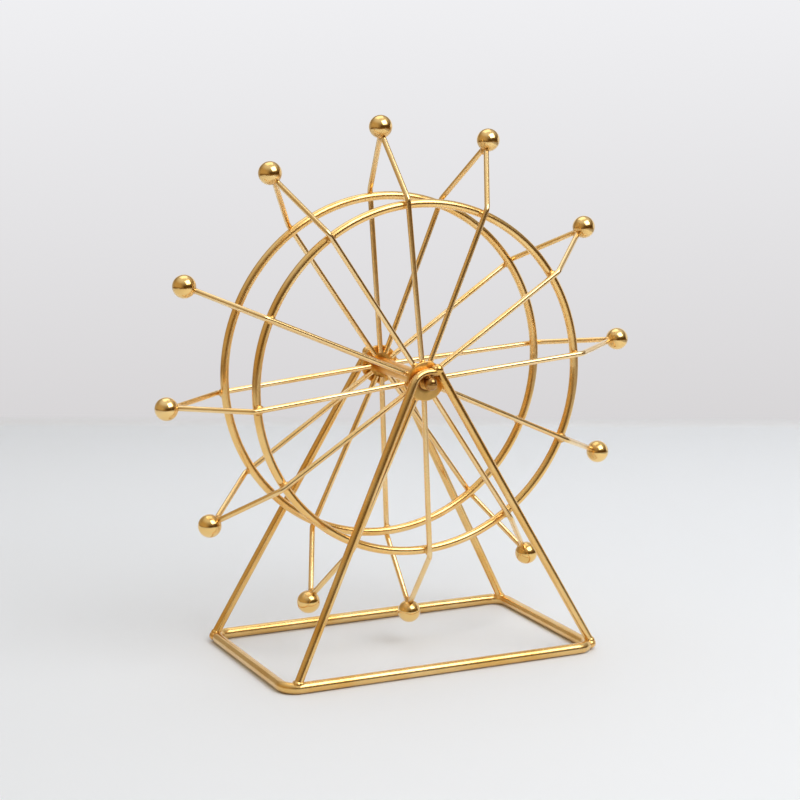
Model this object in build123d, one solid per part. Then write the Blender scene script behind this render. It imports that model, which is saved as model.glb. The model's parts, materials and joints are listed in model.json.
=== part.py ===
from build123d import *
import math
import os

# A table ornament shaped like a ferris wheel, welded up from round metal rod.
# Lengths are in millimetres and angles in degrees. +Z is up and the front is at -Y.
# The origin is on the floor, below the middle of the wheel.

# Base: one rod bent into a rectangle that lies on the floor
base_length = 150.0  # outside to outside, along X
base_width = 91.0  # outside to outside, along Y
base_rod = 4.8  # rod diameter
base_bend_radius = 7.0  # at the corners, to the middle of the rod

# Axle: a rod with rounded ends, welded under the tops of the two A-frames
axle_height = 123.25  # middle of the axle above the floor
axle_rod = 5.0
axle_proud = 2.75  # how far each end stands out of its A-frame
axle_bead = 5.6  # diameter of the bead that each end is melted into
bead_sag = 0.55  # how far that bead has run down from the axle's middle
running_gap = 0.08  # all round, between the axle and the sleeve that turns on it

# A-frames: in each, a leg that hooks over the axle and a straight leg that it butts on
leg_rod = 3.7
hook_bend_radius = 8.5  # where the hooked leg turns over the axle
hook_corner = 5.3  # from the wheel's middle to where the leg would meet its top run
straight_top = 4.1  # from the wheel's middle to the straight leg's top end, along X
straight_rise = 1.0  # of that end above the hooked leg's top run
top_bead = 4.8  # diameter of the bead that the straight leg's top end is melted into
foot_bead = 4.4  # diameter of the bead at each leg's foot
foot_sink = 1.0  # depth of a foot bead's middle below the top of the base rod
front_foot_outset = 1.6  # how far the front straight leg stands outside the base rod's middle
rear_foot_outset = 1.2  # and the rear straight leg

# Where each leg stands on its corner of the base: the angle round the bend from the
# long side, and how far outside the middle of the rod. The feet are placed by hand.
feet = {
    "front_hook_leg": (16.0, 0.0),
    "front_straight_leg": (70.0, front_foot_outset),
    "rear_hook_leg": (50.0, 0.0),
    "rear_straight_leg": (55.0, rear_foot_outset),
}

# Wheel: two rings side by side, each carried by spokes that lie on its outer face
ring_diameter = 150.0  # at the middle of the rod
ring_rod = 3.7
ring_spread = 36.8  # between the middle planes of the two rings
spoke_rod = 2.4
knee_gap = 0.9  # from the ring's outer edge to the spoke's bend
knee_bend_radius = 4.0  # of the spoke, to the middle of the rod
pair_gap = 0.05  # from a spoke's tip to the plane midway between the rings
tip_bury = 0.5  # how far a tip is sunk into its ball
weld_depth = 0.1  # how far two welded rods sink into each other

# Hub: a sleeve on the axle, with a washer on each end that the spokes are welded to
sleeve_diameter = 7.0
sleeve_proud = 0.5  # how far the sleeve stands out of each washer
washer_diameter = 17.0
washer_thickness = 1.8
washer_rounding = 0.3
end_float = 0.4  # between each end of the sleeve and the A-frame beside it

# Balls: one at the meeting point of each front and rear spoke
ball_count = 12
ball_diameter = 10.0
ball_circle = 215.0  # diameter of the circle through their middles
first_angle = 94.5  # of the first ball, anticlockwise from +X as seen from the front

# The wheel is put together by hand, so each piece is a little off its even place: by
# these angles, and each ball by this distance outwards
ball_slip = [1.0, 3.0, -1.0, -0.5, 1.5, 1.0, -2.5, 1.0, -1.0, -0.5, 2.0, 0.0]
front_slip = [1.0, 3.0, -1.0, 0.0, 1.0, -1.0, -2.0, 0.5, -2.0, 1.0, 2.0, -0.5]
rear_slip = [-0.5, 3.5, -0.5, -1.0, 1.5, 1.0, -2.5, 0.0, -1.0, 0.5, 2.0, 0.0]
ball_outset = [-0.9, -0.3, -0.4, 0.4, 0.4, 0.0, 0.2, -0.2, -0.3, 0.4, 0.5, -0.4]

# Places that follow from the sizes above
sleeve_bore = axle_rod + 2 * running_gap
spoke_y = ring_spread / 2 + ring_rod / 2 + spoke_rod / 2 - weld_depth
washer_y = spoke_y + spoke_rod / 2 - weld_depth
sleeve_end_y = washer_y + washer_thickness + sleeve_proud
frame_y = sleeve_end_y + end_float + leg_rod / 2
axle_end_y = frame_y + leg_rod / 2 + axle_proud
hook_top_z = axle_height + axle_rod / 2 + leg_rod / 2 - weld_depth
knee_radius = ring_diameter / 2 + ring_rod / 2 + knee_gap


def even_angle(slip, index):
    return first_angle - 360 / ball_count * index + slip[index % len(slip)]


def narrowest_turn(slip):
    angles = [even_angle(slip, index) for index in range(ball_count)]
    turns = [a - b for a, b in zip(angles, angles[1:])]
    turns.append(angles[-1] - angles[0] + 360)
    return min(turns)


# The spokes stop where the two closest neighbours would meet side by side
closest_turn = min(narrowest_turn(front_slip), narrowest_turn(rear_slip))
spoke_start = max(
    (spoke_rod / 2 + pair_gap) / math.tan(math.radians(closest_turn / 2)),
    sleeve_diameter / 2 + spoke_rod / 2,
)


def on_wheel(radius, angle, y):
    turn = math.radians(angle)
    return Vector(radius * math.cos(turn), y, axle_height + radius * math.sin(turn))


def bent_rod(points, diameter, bend):
    path = FilletPolyline(*points, radius=bend)
    section = Plane(origin=path @ 0, z_dir=path % 0) * Circle(diameter / 2)
    return sweep(section, path)


def straight_rod(start, end, diameter):
    path = Line(start, end)
    section = Plane(origin=start, z_dir=end - start) * Circle(diameter / 2)
    return sweep(section, path)


def base_frame():
    length = base_length - base_rod
    width = base_width - base_rod
    outline = RectangleRounded(length, width, base_bend_radius)
    path = Pos(0, 0, base_rod / 2) * outline.face().outer_wire()
    section = Plane(origin=path @ 0, z_dir=path % 0) * Circle(base_rod / 2)
    return sweep(section, path)


def axle():
    # A rod with rounded ends and a sagging bead on each. The profile is half of a
    # rectangle with two rounded corners.
    radius = axle_rod / 2
    shoulder = axle_end_y - radius
    profile = make_face(
        Line((0, -axle_end_y), (0, axle_end_y))
        + RadiusArc((0, axle_end_y), (radius, shoulder), radius)
        + Line((radius, shoulder), (radius, -shoulder))
        + RadiusArc((radius, -shoulder), (0, -axle_end_y), radius)
    )
    rod = revolve(profile, Axis.Y)
    bead_y = axle_end_y - axle_bead / 2
    rod += [Pos(0, y, -bead_sag) * Sphere(axle_bead / 2) for y in (-bead_y, bead_y)]
    return Pos(0, 0, axle_height) * rod


def foot_place(name, side_x, side_y):
    # A point over the corner bend of the base, for the leg on that corner
    angle, outset = feet[name]
    turn = math.radians(angle)
    reach = base_bend_radius + outset
    bend_x = (base_length - base_rod) / 2 - base_bend_radius
    bend_y = (base_width - base_rod) / 2 - base_bend_radius
    x = bend_x + reach * math.sin(turn)
    y = bend_y + reach * math.cos(turn)
    return Vector(side_x * x, side_y * y, base_rod - foot_sink)


def straight_leg(name, side_x, side_y, base):
    foot = foot_place(name, side_x, side_y)
    top = Vector(side_x * straight_top, side_y * frame_y, hook_top_z + straight_rise)
    leg = straight_rod(foot, top, leg_rod)
    leg += [Pos(foot) * Sphere(foot_bead / 2), Pos(top) * Sphere(top_bead / 2)]
    return leg - base


def hook_leg(name, side_x, side_y, base, other_leg, axle_solid):
    # The top run ends at the straight leg, which is cut out of it to make a close joint
    foot = foot_place(name, side_x, side_y)
    corner = Vector(side_x * hook_corner, side_y * frame_y, hook_top_z)
    end = Vector(-side_x * straight_top, side_y * frame_y, hook_top_z)
    leg = bent_rod([foot, corner, end], leg_rod, hook_bend_radius)
    leg += Pos(foot) * Sphere(foot_bead / 2)
    return leg - base - other_leg - axle_solid


def ring(side_y):
    turned = Rot(90, 0, 0) * Torus(ring_diameter / 2, ring_rod / 2)
    return Pos(0, side_y * ring_spread / 2, axle_height) * turned


def on_axle(solid, y):
    return Pos(0, y, axle_height) * Rot(90, 0, 0) * solid


def sleeve_tube():
    length = 2 * sleeve_end_y
    tube = Cylinder(sleeve_diameter / 2, length) - Cylinder(sleeve_bore / 2, length)
    return on_axle(tube, 0)


def hub_washer(side_y):
    washer = Cylinder(washer_diameter / 2, washer_thickness)
    washer = fillet(washer.edges().filter_by(GeomType.CIRCLE), washer_rounding)
    washer -= Cylinder(sleeve_diameter / 2, washer_thickness)
    return on_axle(washer, side_y * (washer_y + washer_thickness / 2))


def ball_radius(index):
    return ball_circle / 2 + ball_outset[index % len(ball_outset)]


def ball(index):
    middle = on_wheel(ball_radius(index), even_angle(ball_slip, index), 0)
    return Pos(middle) * Sphere(ball_diameter / 2)


def spoke(index, slip, side_y, carriers):
    # From the knee the spoke leans in, so that its side just clears the middle plane
    # where it meets the ball. The lean is that of a line from the knee which passes
    # the meeting point at half the rod's thickness.
    meet_radius = ball_radius(index) - ball_diameter / 2 + tip_bury
    offset = spoke_rod / 2 + pair_gap
    run = meet_radius - knee_radius
    lean = math.atan2(spoke_y, run) - math.asin(offset / math.hypot(run, spoke_y))
    tip_radius = meet_radius + offset * math.sin(lean)
    tip_y = offset * math.cos(lean)
    angle = even_angle(slip, index)
    start = on_wheel(spoke_start, angle, side_y * spoke_y)
    knee = on_wheel(knee_radius, angle, side_y * spoke_y)
    tip = on_wheel(tip_radius, even_angle(ball_slip, index), side_y * tip_y)
    wire = bent_rod([start, knee, tip], spoke_rod, knee_bend_radius)
    for carrier in carriers:
        wire -= carrier
    return wire


def build():
    nodes = {}
    base = base_frame()
    axle_solid = axle()
    nodes["base_frame"] = base
    nodes["axle"] = axle_solid
    for end, side_y in (("front", -1), ("rear", 1)):
        # The rear A-frame is the front one turned half round about the upright axis
        straight_name = f"{end}_straight_leg"
        hook_name = f"{end}_hook_leg"
        straight = straight_leg(straight_name, -side_y, side_y, base)
        nodes[straight_name] = straight
        nodes[hook_name] = hook_leg(hook_name, side_y, side_y, base, straight, axle_solid)
    nodes["sleeve_tube"] = sleeve_tube()
    balls = [ball(index) for index in range(ball_count)]
    for index, solid in enumerate(balls):
        nodes[f"ball_{index + 1:02d}"] = solid
    for end, side_y, slip in (("front", -1, front_slip), ("rear", 1, rear_slip)):
        wheel_ring = ring(side_y)
        washer = hub_washer(side_y)
        nodes[f"{end}_ring"] = wheel_ring
        nodes[f"{end}_hub_washer"] = washer
        for index in range(ball_count):
            wire = spoke(index, slip, side_y, [wheel_ring, washer, balls[index]])
            nodes[f"{end}_spoke_{index + 1:02d}"] = wire
    return nodes


os.makedirs("parts", exist_ok=True)
for node, solid in build().items():
    export_step(solid, f"parts/{node}.step")
    print(node, round(solid.volume, 2))
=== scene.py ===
import json
import math
import random
import bpy
import bmesh
from mathutils import Matrix, Vector, noise


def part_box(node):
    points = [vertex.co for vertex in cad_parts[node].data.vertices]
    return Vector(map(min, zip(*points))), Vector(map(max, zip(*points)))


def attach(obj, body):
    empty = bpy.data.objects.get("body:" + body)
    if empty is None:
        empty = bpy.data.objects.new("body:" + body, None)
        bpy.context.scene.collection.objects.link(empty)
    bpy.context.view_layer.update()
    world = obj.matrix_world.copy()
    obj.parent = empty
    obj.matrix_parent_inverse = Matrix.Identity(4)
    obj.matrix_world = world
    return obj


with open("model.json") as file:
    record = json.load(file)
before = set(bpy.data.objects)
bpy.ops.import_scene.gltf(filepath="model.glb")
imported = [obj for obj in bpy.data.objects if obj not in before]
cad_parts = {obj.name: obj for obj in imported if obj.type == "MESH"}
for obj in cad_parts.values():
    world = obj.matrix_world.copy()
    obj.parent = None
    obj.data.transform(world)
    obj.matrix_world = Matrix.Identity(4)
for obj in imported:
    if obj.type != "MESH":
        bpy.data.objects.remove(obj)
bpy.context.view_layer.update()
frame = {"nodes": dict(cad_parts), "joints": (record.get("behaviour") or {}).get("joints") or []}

mm = 0.001
photoAzimuth = -25.26    # of the photograph's view, in degrees round the wheel from the front
axlePlace = Vector(frame["joints"][0]["pos_m"])   # middle of the wheel
axleLine = Vector((0, 1, 0))
nodes = frame["nodes"]
spokeNames = sorted(name for name in nodes if "spoke" in name)
ballNames = sorted(name for name in nodes if name.startswith("ball"))
print("frame loaded:", len(nodes), "pieces")


def newMaterial(name):
    material = bpy.data.materials.new(name)
    material.use_nodes = True
    tree = material.node_tree
    shader = tree.nodes["Principled BSDF"]
    return material, tree, shader


def setInputs(tree, node, inputs):
    # Each input is given a value, or the output of another node
    for key, value in inputs.items():
        if isinstance(value, bpy.types.NodeSocket):
            tree.links.new(value, node.inputs[key])
        else:
            node.inputs[key].default_value = value


def addNode(tree, kind, inputs=None, **settings):
    # The settings come first, because they decide which sockets the node has
    node = tree.nodes.new(kind)
    for key, value in settings.items():
        setattr(node, key, value)
    setInputs(tree, node, inputs or {})
    return node


def maths(tree, operation, *values, clamp=False):
    inputs = dict(enumerate(values))
    node = addNode(tree, "ShaderNodeMath", inputs, operation=operation, use_clamp=clamp)
    return node.outputs["Value"]


def vectorMaths(tree, operation, *values):
    node = addNode(tree, "ShaderNodeVectorMath", dict(enumerate(values)), operation=operation)
    return node.outputs["Value" if operation in ("LENGTH", "DOT_PRODUCT") else "Vector"]


def ramped(tree, value, start, end):
    # From 0 at the start to 1 at the end
    inputs = {"Value": value, "From Min": start, "From Max": end}
    return addNode(tree, "ShaderNodeMapRange", inputs).outputs["Result"]


def mixedColors(tree, amount, first, second):
    inputs = {"Factor": amount, "A": first, "B": second}
    return addNode(tree, "ShaderNodeMix", inputs, data_type="RGBA").outputs["Result"]


def mixedShaders(tree, amount, first, second):
    return addNode(tree, "ShaderNodeMixShader", {0: amount, 1: first, 2: second}).outputs["Shader"]


def colorRamp(tree, value, stops):
    node = addNode(tree, "ShaderNodeValToRGB", {"Fac": value})
    elements = node.color_ramp.elements
    while len(elements) < len(stops):
        elements.new(0.5)
    for element, (position, color) in zip(elements, stops):
        element.position = position
        element.color = (*color, 1)
    return node.outputs["Color"]


def newGroup(name, inputs, outputs):
    group = bpy.data.node_groups.new(name, "ShaderNodeTree")
    for direction, sockets in (("INPUT", inputs), ("OUTPUT", outputs)):
        for label, kind in sockets.items():
            group.interface.new_socket(label, in_out=direction, socket_type="NodeSocket" + kind)
    return group, addNode(group, "NodeGroupInput").outputs, addNode(group, "NodeGroupOutput")


wear = {
    "driftScale": 55.0,        # of the slow change between the light and the deep tone
    "driftFrom": 0.35,         # noise level at which the tone starts to deepen
    "driftTo": 0.68,
    "cloudScale": 240.0,       # of the haze
    "rippleScale": 420.0,
    "pitScale": 900.0,
    "pitWidth": 0.16,
    "pitWeight": 0.12,         # of the pits against the ripple
    "bumpDepth": 0.06 * mm,
}
black = (0, 0, 0)
white = (1, 1, 1)


def buildPlatingGroup():
    # Slow colour drift, cloudy haze, and the ripple and pits that hand polishing leaves
    group, given, result = newGroup(
        "platingWear",
        {
            "Vector": "Vector",
            "Tone Light": "Color",
            "Tone Deep": "Color",
            "Haze": "Float",
            "Smoothness": "Float",
        },
        {"Color": "Color", "Roughness": "Float", "Height": "Float"},
    )

    def noiseLevel(scale, detail, roughness):
        inputs = {"Vector": given["Vector"], "Scale": scale, "Detail": detail, "Roughness": roughness}
        return addNode(group, "ShaderNodeTexNoise", inputs).outputs["Fac"]

    drift = noiseLevel(wear["driftScale"], 3.0, 0.5)
    deepening = colorRamp(group, drift, [(wear["driftFrom"], black), (wear["driftTo"], white)])
    tone = mixedColors(group, deepening, given["Tone Light"], given["Tone Deep"])

    cloud = noiseLevel(wear["cloudScale"], 5.0, 0.6)
    roughness = maths(group, "MULTIPLY_ADD", cloud, given["Haze"], given["Smoothness"])

    ripple = noiseLevel(wear["rippleScale"], 2.0, 0.45)
    pitInputs = {"Vector": given["Vector"], "Scale": wear["pitScale"]}
    pits = addNode(group, "ShaderNodeTexVoronoi", pitInputs, feature="F1").outputs["Distance"]
    pitEdge = colorRamp(group, pits, [(0.0, black), (wear["pitWidth"], white)])
    height = maths(group, "MULTIPLY_ADD", pitEdge, wear["pitWeight"], ripple)
    setInputs(group, result, {"Color": tone, "Roughness": roughness, "Height": height})
    return group


tintAndShade = {
    "tint": (0.50, 0.25, 0.03),    # orange painted round the welds, the hub and the balls' feet: weld tint in part, and in part painted reflection of the gold nearby
    "paintedShade": (0.16, 0.045, 0.012), # and the painted shade of the recess right at the sleeve
    "hub": 7.8 * mm,               # how far the orange reaches round the axle
    "shadeReach": 5.2 * mm,            # how far the painted shade reaches
    "sleeve": 3.6 * mm,            # where the sleeve's bright rim begins
    "outerFace": 23.9 * mm,        # the painted shade lies on the outer faces of the washers
    "innerFace": 23.2 * mm,
    "crossing": 75 * mm,           # and the distances out where spokes are welded
    "tip": 103 * mm,
    "spread": 3.5 * mm,
    "patchScale": 300.0,           # the tint is patchy
    "patchFrom": 0.3,
    "patchTo": 0.6,
}


def buildTintAndShadeGroup():
    # Orange tint round the welds, by the distance from the axle: weld tint in part, and in part
    # painted reflection of the gold nearby
    group, given, result = newGroup(
        "orangeTintAndShade",
        {"Vector": "Vector", "Color": "Color", "Near": "Float", "Far": "Float"},
        {"Color": "Color"},
    )
    shifted = vectorMaths(group, "SUBTRACT", given["Vector"], axlePlace)
    flat = vectorMaths(group, "MULTIPLY", shifted, (1, 0, 1))
    distance = vectorMaths(group, "LENGTH", flat)
    # Round the hub the orange is in part painted reflection of the gold spokes and legs round it
    atHub = ramped(group, distance, tintAndShade["hub"], tintAndShade["hub"] / 2)
    amount = maths(group, "MULTIPLY", atHub, given["Near"])
    # Orange bands at the ring crossings and the balls' feet: weld tint in part, and in part painted
    # reflection of the wires nearby
    for place in ("crossing", "tip"):
        aside = maths(group, "ABSOLUTE", maths(group, "SUBTRACT", distance, tintAndShade[place]))
        band = ramped(group, aside, tintAndShade["spread"], 0.0)
        amount = maths(group, "MULTIPLY_ADD", band, given["Far"], amount)

    patchInputs = {"Vector": given["Vector"], "Scale": tintAndShade["patchScale"], "Detail": 3.0}
    patches = addNode(group, "ShaderNodeTexNoise", patchInputs).outputs["Fac"]
    patchy = ramped(group, patches, tintAndShade["patchFrom"], tintAndShade["patchTo"])
    tintAmount = maths(group, "MULTIPLY", amount, patchy, clamp=True)
    tinted = mixedColors(group, tintAmount, given["Color"], (*tintAndShade["tint"], 1))

    # Painted shade on the outer faces of the washers round the sleeve, where the recess lies in shade
    atSleeve = ramped(group, distance, tintAndShade["shadeReach"], tintAndShade["sleeve"])
    split = addNode(group, "ShaderNodeSeparateXYZ", {"Vector": given["Vector"]})
    depth = maths(group, "ABSOLUTE", split.outputs["Y"])
    outer = ramped(group, depth, tintAndShade["innerFace"], tintAndShade["outerFace"])
    outerShade = maths(group, "MULTIPLY", atSleeve, outer)
    shadeAmount = maths(group, "MULTIPLY", outerShade, given["Near"], clamp=True)
    paintedShade = mixedColors(group, shadeAmount, tinted, (*tintAndShade["paintedShade"], 1))
    setInputs(group, result, {"Color": paintedShade})
    return group


platingGroup = buildPlatingGroup()
tintAndShadeGroup = buildTintAndShadeGroup()

# Light and deep tone, cloudy roughness, lowest roughness, bump, orange tint (weld tint and painted
# reflection) and painted shade near the axle, orange tint far from it, and weight of the clear lacquer
finishes = {
    "leg": {
        "light": (0.93, 0.63, 0.25), "deep": (0.85, 0.48, 0.11), "haze": 0.10, "smooth": 0.18,
        "bump": 0.035, "near": 0.5, "far": 0.0, "lacquer": 0.5,
    },
    "base": {
        "light": (0.89, 0.62, 0.26), "deep": (0.82, 0.49, 0.13), "haze": 0.10, "smooth": 0.20,
        "bump": 0.035, "near": 0.0, "far": 0.0, "lacquer": 0.45,
    },
    "ring": {
        "light": (0.97, 0.66, 0.26), "deep": (0.90, 0.52, 0.13), "haze": 0.10, "smooth": 0.18,
        "bump": 0.03, "near": 0.0, "far": 0.0, "lacquer": 0.55,
    },
    "spoke": {
        "light": (0.97, 0.71, 0.35), "deep": (0.92, 0.60, 0.21), "haze": 0.10, "smooth": 0.17,
        "bump": 0.03, "near": 0.25, "far": 0.3, "lacquer": 0.75,
    },
    "hub": {
        "light": (0.93, 0.61, 0.21), "deep": (0.78, 0.42, 0.08), "haze": 0.20, "smooth": 0.22,
        "bump": 0.20, "near": 0.9, "far": 0.0, "lacquer": 0.15,
    },
    "sleeve": {
        "light": (0.93, 0.57, 0.17), "deep": (0.84, 0.46, 0.10), "haze": 0.14, "smooth": 0.24,
        "bump": 0.03, "near": 0.0, "far": 0.0, "lacquer": 0.1,
    },
    "ball": {
        "light": (0.97, 0.67, 0.27), "deep": (0.92, 0.58, 0.17), "haze": 0.06, "smooth": 0.12,
        "bump": 0.01, "near": 0.0, "far": 0.6, "lacquer": 0.5,
    },
    "weld": {
        "light": (0.92, 0.57, 0.19), "deep": (0.76, 0.40, 0.09), "haze": 0.20, "smooth": 0.22,
        "bump": 0.15, "near": 0.2, "far": 0.3, "lacquer": 0.4,
    },
}
lacquer = {"roughness": 0.09, "ior": 1.6}


def platingMaterial(name, finish):
    material, tree, shader = newMaterial(name)
    place = addNode(tree, "ShaderNodeTexCoord").outputs["Object"]
    wearInputs = {
        "Vector": place,
        "Tone Light": (*finish["light"], 1),
        "Tone Deep": (*finish["deep"], 1),
        "Haze": finish["haze"],
        "Smoothness": finish["smooth"],
    }
    worn = addNode(tree, "ShaderNodeGroup", wearInputs, node_tree=platingGroup).outputs
    tintAndShadeInputs = {
        "Vector": place,
        "Color": worn["Color"],
        "Near": finish["near"],
        "Far": finish["far"],
    }
    tintedAndShaded = addNode(tree, "ShaderNodeGroup", tintAndShadeInputs, node_tree=tintAndShadeGroup).outputs
    bumpInputs = {
        "Height": worn["Height"],
        "Strength": finish["bump"],
        "Distance": wear["bumpDepth"],
    }
    bump = addNode(tree, "ShaderNodeBump", bumpInputs)
    setInputs(tree, shader, {
        "Base Color": tintedAndShaded["Color"],
        "Metallic": 1.0,
        "Roughness": worn["Roughness"],
        "Normal": bump.outputs["Normal"],
        "Coat Weight": finish["lacquer"],
        "Coat Roughness": lacquer["roughness"],
        "Coat IOR": lacquer["ior"],
    })
    return material


materials = {name: platingMaterial(name + "Plating", finish) for name, finish in finishes.items()}


def finishFor(node):
    for word in ("ball", "ring", "spoke", "sleeve", "base"):
        if word in node:
            return materials[word]
    if "washer" in node:
        return materials["hub"]
    return materials["leg"]


for name, piece in nodes.items():
    piece.data.materials.clear()
    piece.data.materials.append(finishFor(name))
print("plating applied")


def finishPiece(bm, name, body):
    bmesh.ops.recalc_face_normals(bm, faces=bm.faces)
    mesh = bpy.data.meshes.new(name)
    bm.to_mesh(mesh)
    bm.free()
    mesh.shade_smooth()
    mesh.materials.append(materials["weld"])
    piece = bpy.data.objects.new(name, mesh)
    bpy.context.collection.objects.link(piece)
    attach(piece, body)


# Sizes of the welds are in millimetres, and a bead's half sizes are outwards, sideways and
# along the third direction
beadSurface = {
    "subdivisions": 2,
    "swell": 0.6,        # share of a bead's unevenness that goes into its surface
    "scale": 2.2,        # of the swellings
    "shift": 50,         # reach of the random shift that gives each bead its own surface
}


def addLump(bm, place, outwards, sideways, halfSizes, uneven, dice):
    # A weld bead: a small ball stretched along three directions, with an uneven surface
    values = beadSurface
    third = outwards.cross(sideways)
    frameAxes = Matrix((outwards, sideways, third)).transposed()
    sizes = [size * mm * dice.uniform(1 - uneven, 1 + uneven) for size in halfSizes]
    shift = Vector((dice.uniform(0, values["shift"]), 0, 0))
    made = bmesh.ops.create_icosphere(bm, subdivisions=values["subdivisions"], radius=1.0)
    for vert in made["verts"]:
        level = noise.noise(values["scale"] * vert.co + shift)
        swell = 1 + values["swell"] * uneven * level
        local = Vector([size * value * swell for size, value in zip(sizes, vert.co)])
        vert.co = place + frameAxes @ local


def middleOf(points):
    points = list(points)
    return sum(points, Vector()) / len(points)


kneeBand = 4 * mm        # the points of a spoke's bend lie this near the ring's outer edge
endBand = 2 * mm         # and those of a leg's end this near its highest or lowest point


def spokeDirection(name):
    # From the axle towards the middle of the spoke's bend, just past the ring
    ringLow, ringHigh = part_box("front_ring")
    reach = (ringHigh.x - ringLow.x) / 2
    points = [vert.co for vert in nodes[name].data.vertices]
    distances = [math.hypot(p.x, p.z - axlePlace.z) for p in points]
    knee = middleOf(p for p, d in zip(points, distances) if abs(d - reach) < kneeBand)
    return Vector((knee.x, 0, knee.z - axlePlace.z)).normalized()


def makeSpokeWelds(end, kind, values, radius, faceY):
    # A bead on each spoke of one side of the wheel, all at the same distance from the axle
    dice = random.Random(values["seed"])
    bm = bmesh.new()
    for name in spokeNames:
        if name.startswith(end):
            outwards = spokeDirection(name)
            place = axlePlace + radius * outwards + faceY * axleLine
            addLump(bm, place, outwards, axleLine, values["halfSizes"], values["uneven"], dice)
    finishPiece(bm, end + kind, "wheel")


ringWeld = {"halfSizes": (1.9, 0.9, 1.9), "lift": 0.2, "uneven": 0.30, "seed": 4}


def makeRingWelds(end):
    # Where each spoke crosses its ring
    low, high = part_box(end + "_ring")
    rod = high.y - low.y
    radius = (high.x - low.x - rod) / 2
    side = 1 if low.y > 0 else -1
    outerFace = (high.y if side > 0 else low.y) + side * ringWeld["lift"] * mm
    makeSpokeWelds(end, "RingWelds", ringWeld, radius, outerFace)


rimWeld = {"halfSizes": (1.3, 0.8, 1.5), "inset": 0.5, "uneven": 0.35, "seed": 9}


def makeRimWelds(end):
    # Where each spoke passes the rim of its washer
    low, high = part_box(end + "_hub_washer")
    radius = (high.x - low.x) / 2 - rimWeld["inset"] * mm
    innerFace = low.y if low.y > 0 else high.y
    makeSpokeWelds(end, "RimWelds", rimWeld, radius, innerFace)


neckWeld = {"halfSizes": (1.7, 2.1, 1.5), "bury": 0.1, "uneven": 0.20, "seed": 2}


def makeNeckWelds():
    # A bead at the foot of each ball, where the front and the rear spoke meet it
    values = neckWeld
    dice = random.Random(values["seed"])
    bm = bmesh.new()
    for name in ballNames:
        low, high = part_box(name)
        middle = (low + high) / 2
        outwards = (middle - axlePlace).normalized()
        place = middle - ((high.y - low.y) / 2 - values["bury"] * mm) * outwards
        addLump(bm, place, outwards, axleLine, values["halfSizes"], values["uneven"], dice)
    finishPiece(bm, "neckWelds", "wheel")


# The straight legs stand outside the base rod and are welded down its side
footWeld = {
    "straight": {"halfSizes": (2.5, 3.3, 2.3), "height": 2.7, "shift": -0.7},
    "hook": {"halfSizes": (2.3, 2.9, 1.2), "height": 4.5, "shift": -0.6},
    "uneven": 0.08,
    "seed": 6,
}


def makeFootWelds():
    # A skirt of weld round each foot
    dice = random.Random(footWeld["seed"])
    bm = bmesh.new()
    for end in ("front", "rear"):
        for kind in ("straight", "hook"):
            values = footWeld[kind]
            name = f"{end}_{kind}_leg"
            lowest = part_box(name)[0].z + endBand
            foot = middleOf(v.co for v in nodes[name].data.vertices if v.co.z < lowest)
            outwards = Vector((foot.x, foot.y, 0)).normalized()
            place = Vector((foot.x, foot.y, values["height"] * mm)) + values["shift"] * mm * outwards
            sideways = outwards.cross(Vector((0, 0, 1)))
            addLump(bm, place, outwards, sideways, values["halfSizes"], footWeld["uneven"], dice)
    finishPiece(bm, "footWelds", "stand")


topWeld = {
    "joint": {"halfSizes": (1.9, 1.7, 1.6), "drop": 2.0, "inwards": 1.6},
    "saddle": {"halfSizes": (2.2, 1.5, 0.9)},
    "uneven": 0.20,
    "seed": 3,
}


def makeTopWelds():
    # Where the hooked leg butts on the straight one, and where it lies on the axle
    joint, saddle, uneven = topWeld["joint"], topWeld["saddle"], topWeld["uneven"]
    dice = random.Random(topWeld["seed"])
    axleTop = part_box("axle")[1].z
    sideways = Vector((1, 0, 0))
    bm = bmesh.new()
    for end in ("front", "rear"):
        low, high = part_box(end + "_straight_leg")
        points = (v.co for v in nodes[end + "_straight_leg"].data.vertices)
        bead = middleOf(p for p in points if p.z > high.z - endBand)
        inwards = -1 if bead.x > 0 else 1
        jointX = bead.x + inwards * joint["inwards"] * mm
        jointPlace = Vector((jointX, bead.y, high.z - joint["drop"] * mm))
        addLump(bm, jointPlace, sideways, axleLine, joint["halfSizes"], uneven, dice)
        saddlePlace = Vector((0, bead.y, axleTop))
        addLump(bm, saddlePlace, sideways, axleLine, saddle["halfSizes"], uneven, dice)
    finishPiece(bm, "topWelds", "stand")


for end in ("front", "rear"):
    makeRingWelds(end)
    makeRimWelds(end)
makeNeckWelds()
makeFootWelds()
makeTopWelds()
print("welds made")


# The floor and wall, turned so that the wall stands square to the photograph's view
studio = {
    "floorFront": 1.6,           # from the wheel to the front edge
    "floorBack": 0.49,           # from the wheel to the wall
    "floorSide": 1.6,
    "wallHeight": 0.42,
    "wallBend": 0.006,           # radius where the floor turns up
    "bendSteps": 10,
    "floorColor": (0.83, 0.865, 0.91),
    "paperRoughness": 0.6,
    "paperSpecular": 0.2,
    "wallLow": (0.685, 0.670, 0.680),    # painted shade: the wall's glow is darker as the camera sees it, just above the floor
    "wallHigh": (0.875, 0.875, 0.895),   # and lighter at the top of the picture
    "wallFade": 0.29,                    # height of that change
    "backdrop": (0.875, 0.875, 0.895),   # what the camera sees further out
    "backdropFrom": 0.60,
    "backdropTo": 1.25,
}

# What the metal sees past the picture: the floor is darker on the right, the wall is darker
# on the left, and the floor ends
surroundings = {
    "floorAside": {"color": (0.40, 0.40, 0.42), "start": 0.34, "end": 0.42},
    "wallAside": {"color": (0.42, 0.36, 0.27), "start": -0.27, "end": -0.36},
    "pastFloor": {"color": (0.20, 0.11, 0.03), "start": 1.0, "end": 1.06},   # of the reach
    "floorReach": (0.75, 0.58),          # to the sides and to the front
}


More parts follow.
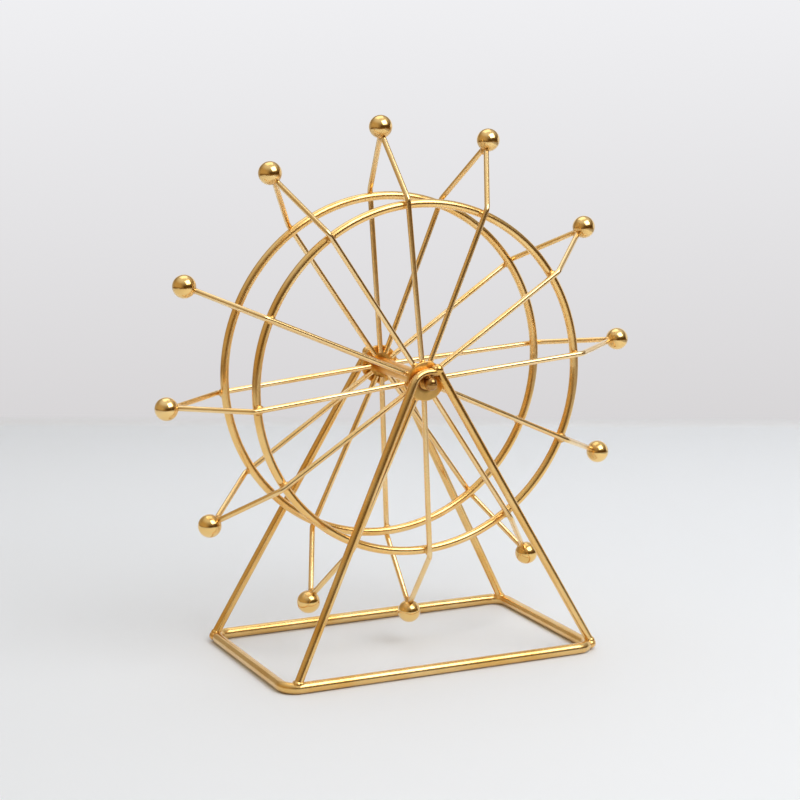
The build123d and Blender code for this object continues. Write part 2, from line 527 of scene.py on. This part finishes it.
def makeStudio():
    values = studio
    bm = bmesh.new()
    side = values["floorSide"]
    front, back, bend = values["floorFront"], values["floorBack"], values["wallBend"]
    corners = [bm.verts.new((x, -front, 0)) for x in (-side, side)]
    edge = bm.edges.new(corners)

    def pull(edges, offset):
        made = bmesh.ops.extrude_edge_only(bm, edges=edges)["geom"]
        points = [g for g in made if isinstance(g, bmesh.types.BMVert)]
        bmesh.ops.translate(bm, verts=points, vec=offset)
        pulled = [g for g in made if isinstance(g, bmesh.types.BMEdge)]
        return [g for g in pulled if all(v in points for v in g.verts)]

    rim = pull([edge], (0, front + back - bend, 0))
    steps = values["bendSteps"]
    reach = 2 * bend * math.sin(math.pi / 4 / steps)
    for step in range(steps):
        turn = (step + 0.5) / steps * math.pi / 2
        rim = pull(rim, (0, reach * math.cos(turn), reach * math.sin(turn)))
    pull(rim, (0, 0, values["wallHeight"] - bend))
    squareToView = Matrix.Rotation(math.radians(photoAzimuth), 3, "Z")
    bmesh.ops.rotate(bm, verts=bm.verts, matrix=squareToView)
    bmesh.ops.recalc_face_normals(bm, faces=bm.faces)
    bm.faces.ensure_lookup_table()
    if bm.faces[0].normal.z < 0:
        bmesh.ops.reverse_faces(bm, faces=bm.faces)
    mesh = bpy.data.meshes.new("studioSweep")
    bm.to_mesh(mesh)
    bm.free()
    mesh.shade_smooth()
    sweep = bpy.data.objects.new("studioSweep", mesh)
    bpy.context.collection.objects.link(sweep)
    return sweep


def studioMaterial():
    # The floor is plain paper that takes shadows. The wall glows, to the camera and in the metal, with
    # a tone painted darker just above the floor and lighter higher up, and is paper to the light that
    # falls on it. Seen from behind, the wall is clear.
    values = studio
    material, tree, shader = newMaterial("studioPaper")
    place = addNode(tree, "ShaderNodeTexCoord").outputs["Object"]
    height = addNode(tree, "ShaderNodeSeparateXYZ", {"Vector": place}).outputs["Z"]
    path = addNode(tree, "ShaderNodeLightPath").outputs
    cameraRay, glossyRay = path["Is Camera Ray"], path["Is Glossy Ray"]

    def inMetal(plain, other, measure):
        # A colour that turns into another one along a measure, seen only in the metal
        turned = ramped(tree, measure, other["start"], other["end"])
        amount = maths(tree, "MULTIPLY", turned, glossyRay)
        return mixedColors(tree, amount, plain, (*other["color"], 1))

    # Distances on the floor from the wheel, in the photograph's view
    turn = math.radians(photoAzimuth)
    onFloor = vectorMaths(tree, "MULTIPLY", place, (1, 1, 0))
    across = vectorMaths(tree, "DOT_PRODUCT", onFloor, (math.cos(turn), math.sin(turn), 0))
    ahead = vectorMaths(tree, "DOT_PRODUCT", onFloor, (math.sin(turn), -math.cos(turn), 0))
    distance = vectorMaths(tree, "LENGTH", onFloor)

    sideReach, frontReach = surroundings["floorReach"]
    pastSide = maths(tree, "DIVIDE", maths(tree, "ABSOLUTE", across), sideReach)
    pastFront = maths(tree, "DIVIDE", ahead, frontReach)
    past = maths(tree, "MAXIMUM", pastSide, pastFront)
    floorTone = inMetal((*values["floorColor"], 1), surroundings["floorAside"], across)
    floorTone = inMetal(floorTone, surroundings["pastFloor"], past)
    setInputs(tree, shader, {
        "Base Color": floorTone,
        "Roughness": values["paperRoughness"],
        "Specular IOR Level": values["paperSpecular"],
    })

    # Painted shading on the glowing wall: darker just above the floor, lighter higher up
    upWall = ramped(tree, height, 0.0, values["wallFade"])
    wallTone = colorRamp(tree, upWall, [(0.0, values["wallLow"]), (1.0, values["wallHigh"])])
    wallTone = inMetal(wallTone, surroundings["wallAside"], across)
    wallGlow = addNode(tree, "ShaderNodeEmission", {"Color": wallTone}).outputs["Emission"]
    farTone = (*values["backdrop"], 1)
    farGlow = addNode(tree, "ShaderNodeEmission", {"Color": farTone}).outputs["Emission"]
    clear = addNode(tree, "ShaderNodeBsdfTransparent").outputs["BSDF"]

    seen = maths(tree, "MAXIMUM", cameraRay, glossyRay)
    onWall = maths(tree, "MULTIPLY", ramped(tree, height, 0.0, values["wallBend"]), seen)
    farOut = ramped(tree, distance, values["backdropFrom"], values["backdropTo"])
    farSeen = maths(tree, "MULTIPLY", farOut, cameraRay)
    behind = addNode(tree, "ShaderNodeNewGeometry").outputs["Backfacing"]
    surface = mixedShaders(tree, onWall, shader.outputs["BSDF"], wallGlow)
    surface = mixedShaders(tree, farSeen, surface, farGlow)
    surface = mixedShaders(tree, behind, surface, clear)
    setInputs(tree, tree.nodes["Material Output"], {"Surface": surface})
    return material


sweep = makeStudio()
sweep.data.materials.append(studioMaterial())
print("studio set")


# Softboxes, placed from the floor below the wheel, in metres and watts
lights = {
    "key": {"place": (0.34, -0.74, 0.98), "size": (0.90, 0.78), "power": 8.0},
    "top": {"place": (0.05, 0.45, 1.30), "size": (0.90, 0.90), "power": 2.0},
}


def addSoftbox(name, values):
    lamp = bpy.data.lights.new(name, "AREA")
    lamp.shape = "RECTANGLE"
    lamp.size, lamp.size_y = values["size"]
    lamp.energy = values["power"]
    box = bpy.data.objects.new(name, lamp)
    place = Vector(values["place"])
    box.location = place
    box.rotation_euler = (axlePlace - place).to_track_quat("-Z", "Y").to_euler()
    bpy.context.collection.objects.link(box)


for name, values in lights.items():
    addSoftbox(name, values)

# The room past the table, as the metal shows it. The tones come at heights from 0, straight
# down, to 1, straight up.
room = {
    "tones": {
        "below": (0.24, 0.14, 0.05),
        "horizon": (0.09, 0.05, 0.012),
        "shelf": (0.55, 0.42, 0.24),
        "upper": (0.36, 0.31, 0.24),
        "ceiling": (0.85, 0.85, 0.86),
    },
    "plainSide": (
        (0.0, "below"), (0.40, "below"), (0.46, "horizon"),
        (0.58, "horizon"), (0.76, "upper"), (0.95, "ceiling"),
    ),
    "shelfSide": (
        (0.0, "below"), (0.42, "below"), (0.52, "shelf"),
        (0.76, "shelf"), (0.95, "ceiling"),
    ),
    "shelfFrom": -0.35,      # how far left the paler side of the room begins
    "shelfTo": -0.85,
    "strength": 0.9,
}


def makeRoom():
    world = bpy.data.worlds.new("room")
    bpy.context.scene.world = world
    world.use_nodes = True
    tree = world.node_tree
    direction = addNode(tree, "ShaderNodeTexCoord").outputs["Generated"]
    split = addNode(tree, "ShaderNodeSeparateXYZ", {"Vector": direction}).outputs
    height = ramped(tree, split["Z"], -1.0, 1.0)

    def sideTones(stops):
        return colorRamp(tree, height, [(position, room["tones"][tone]) for position, tone in stops])

    leftSide = ramped(tree, split["X"], room["shelfFrom"], room["shelfTo"])
    around = mixedColors(tree, leftSide, sideTones(room["plainSide"]), sideTones(room["shelfSide"]))
    background = tree.nodes["Background"]
    setInputs(tree, background, {"Color": around, "Strength": room["strength"]})
    plain = addNode(tree, "ShaderNodeBackground", {"Color": (*studio["backdrop"], 1)})
    cameraRay = addNode(tree, "ShaderNodeLightPath").outputs["Is Camera Ray"]
    seen = mixedShaders(tree, cameraRay, background.outputs["Background"], plain.outputs["Background"])
    setInputs(tree, tree.nodes["World Output"], {"Surface": seen})


makeRoom()
print("lights and room set")


cameraPlace = {
    "elevation": 10.82,          # in degrees, as the roll
    "roll": 0.13,
    "target": (0, 0, 0.100),
    "distance": 0.9636,
    "aside": 0.00078,            # the target's offset from the picture's middle
    "above": -0.0108,
    "lens": 99.63,
    "sensor": 36,
    "nearest": 0.01,             # distance at which the camera starts to see
}


def addCamera():
    values = cameraPlace
    turn = math.radians(photoAzimuth)
    tilt = math.radians(values["elevation"])
    roll = math.radians(values["roll"])
    back = Vector((math.sin(turn) * math.cos(tilt), -math.cos(turn) * math.cos(tilt), math.sin(tilt)))
    level = Vector((math.cos(turn), math.sin(turn), 0))
    upright = back.cross(level)
    right = math.cos(roll) * level + math.sin(roll) * upright
    up = math.cos(roll) * upright - math.sin(roll) * level
    data = bpy.data.cameras.new("photoCamera")
    data.lens = values["lens"]
    data.sensor_width = values["sensor"]
    data.clip_start = values["nearest"]
    camera = bpy.data.objects.new("photoCamera", data)
    middle = Vector(values["target"]) - values["aside"] * right - values["above"] * up
    place = middle + values["distance"] * back
    camera.matrix_world = Matrix.Translation(place) @ Matrix((right, up, back)).transposed().to_4x4()
    bpy.context.collection.objects.link(camera)
    bpy.context.scene.camera = camera


addCamera()
bpy.context.scene.view_settings.view_transform = "Standard"
print("camera set")
